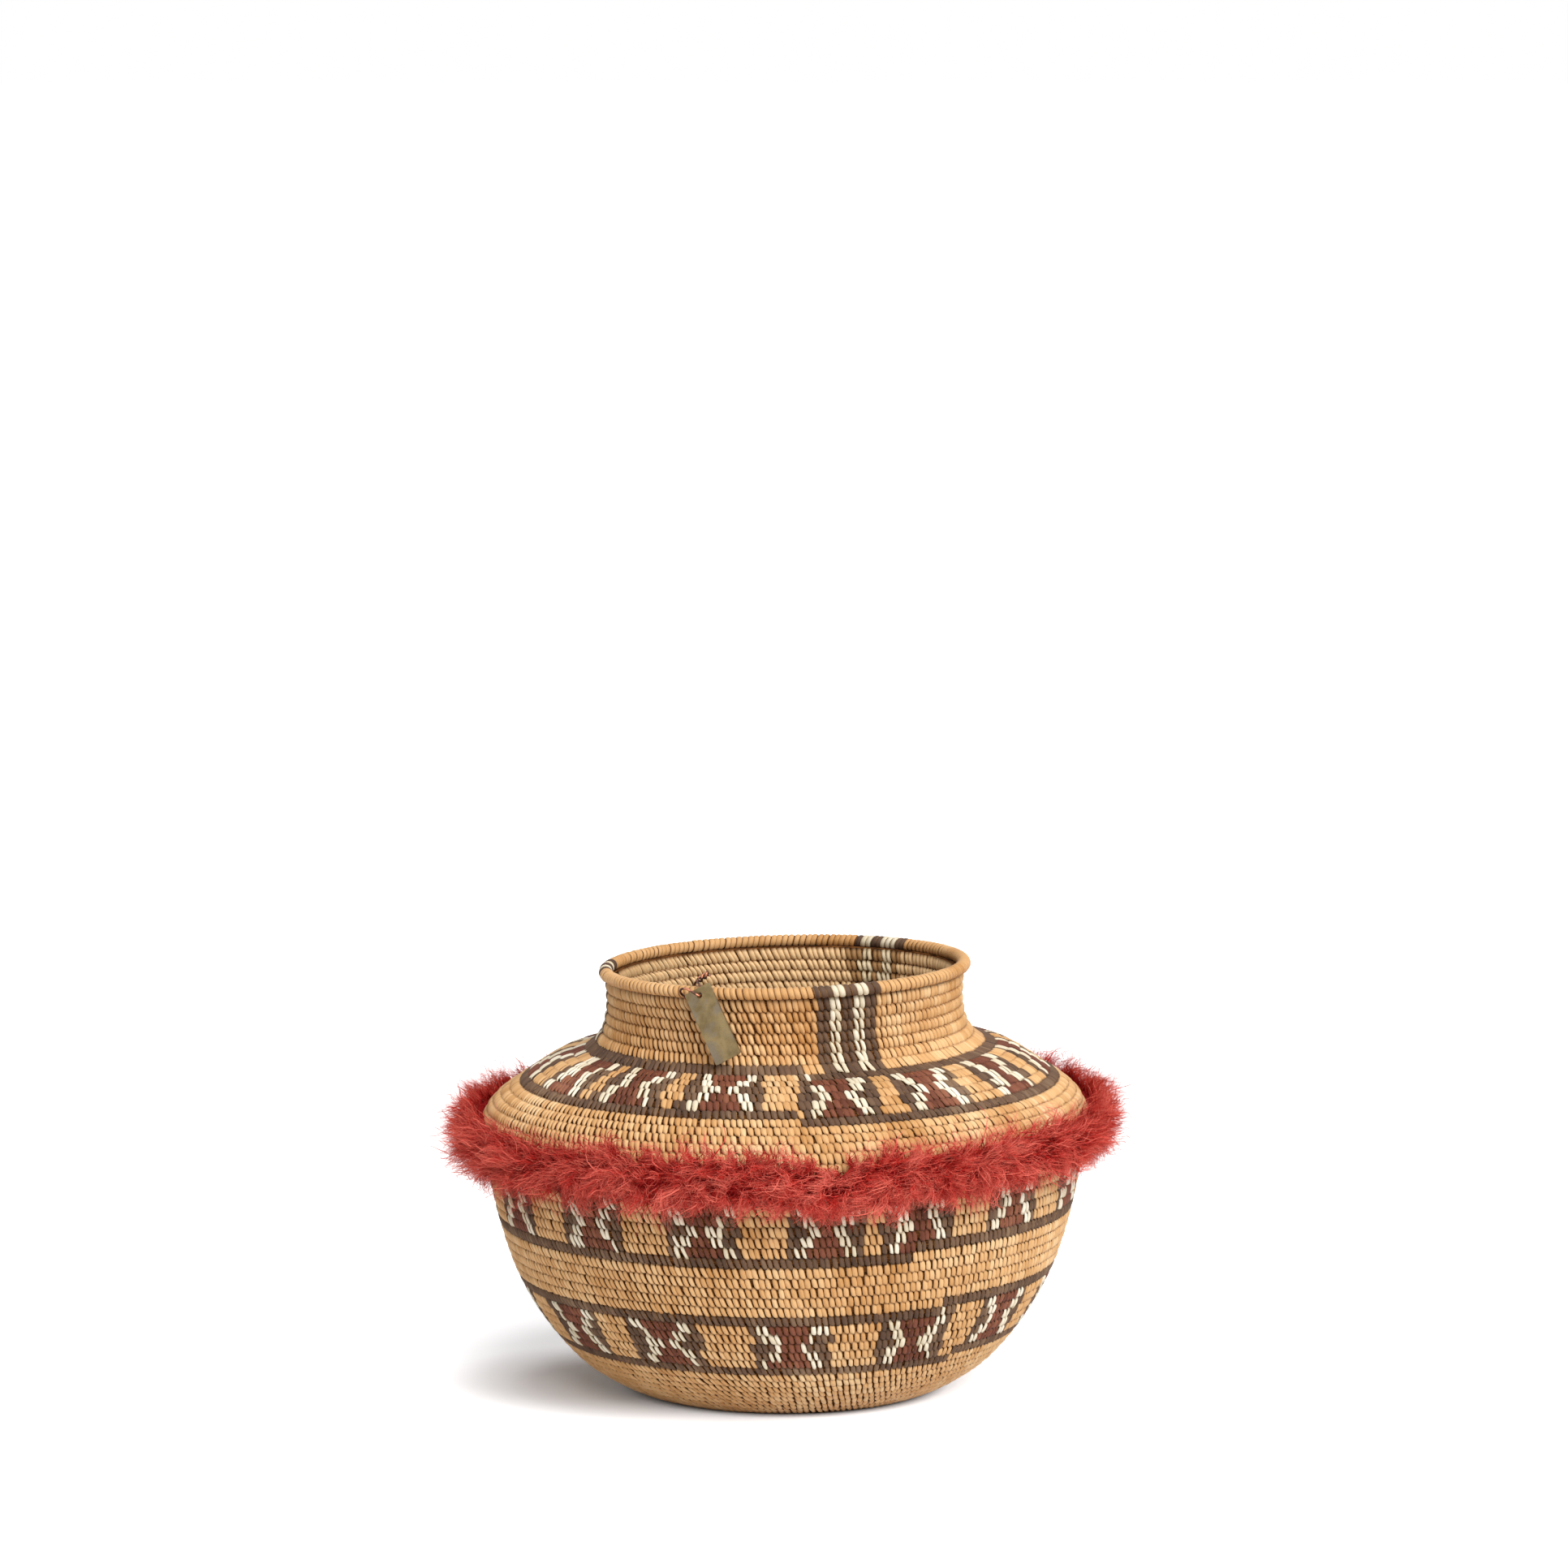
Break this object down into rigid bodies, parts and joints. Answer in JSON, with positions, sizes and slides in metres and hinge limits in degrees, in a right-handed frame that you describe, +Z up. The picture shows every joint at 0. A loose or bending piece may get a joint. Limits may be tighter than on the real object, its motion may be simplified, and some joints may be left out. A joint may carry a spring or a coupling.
{
  "type": "bottleneck basket",
  "caption": "Coiled basket with a flat base, rounded body, broad sloping shoulder and short open neck, with a fringe round the shoulder and a tag on a wire.",
  "frame": {"origin": "centre of the underside of the flat base, on the basket's upright axis", "axes": "+Z up through the neck, -Y towards the front, where the tag hangs a little to the left, +X to the right"},
  "size_m": [0.232, 0.2331, 0.1505],
  "materials": {
    "tan_splint": "matte",
    "light_tan_splint": "matte",
    "dark_splint": "matte",
    "figured_splint": "matte",
    "red_wool": "matte",
    "brass": "satin",
    "copper_wire": "satin"
  },
  "bodies": {
    "basket": {"start_knot": "tan_splint", "base_coils": "tan_splint", "foot_coils": "tan_splint", "lower_band_foot_line": "dark_splint", "lower_band_coils": "figured_splint", "lower_band_top_line": "dark_splint", "belly_coils": "tan_splint", "upper_band_foot_line": "dark_splint", "upper_band_coils": "figured_splint", "upper_band_top_line": "dark_splint", "shoulder_edge_coils": "light_tan_splint", "shoulder_coils": "light_tan_splint", "shoulder_band_foot_line": "dark_splint", "shoulder_band_coils": "figured_splint", "neck_foot_line": "dark_splint", "neck_coils": "tan_splint", "rim_coil": "tan_splint", "wool_trim": "red_wool"},
    "tag_wire": {"tag_wire": "copper_wire"},
    "tag": {"tag": "brass"}
  },
  "joints": [
    {"name": "wire_flap", "type": "hinge", "parent": "basket", "child": "tag_wire", "pos_m": [-0.02602, -0.0548, 0.14312], "axis": [-0.9031, 0.4288, -0.0235], "range_deg": [0, 60]},
    {"name": "tag_swing", "type": "hinge", "parent": "tag_wire", "child": "tag", "pos_m": [-0.02801, -0.05899, 0.14312], "axis": [-0.4292, -0.899, 0.0871], "range_deg": [-56, 32]}
  ]
}
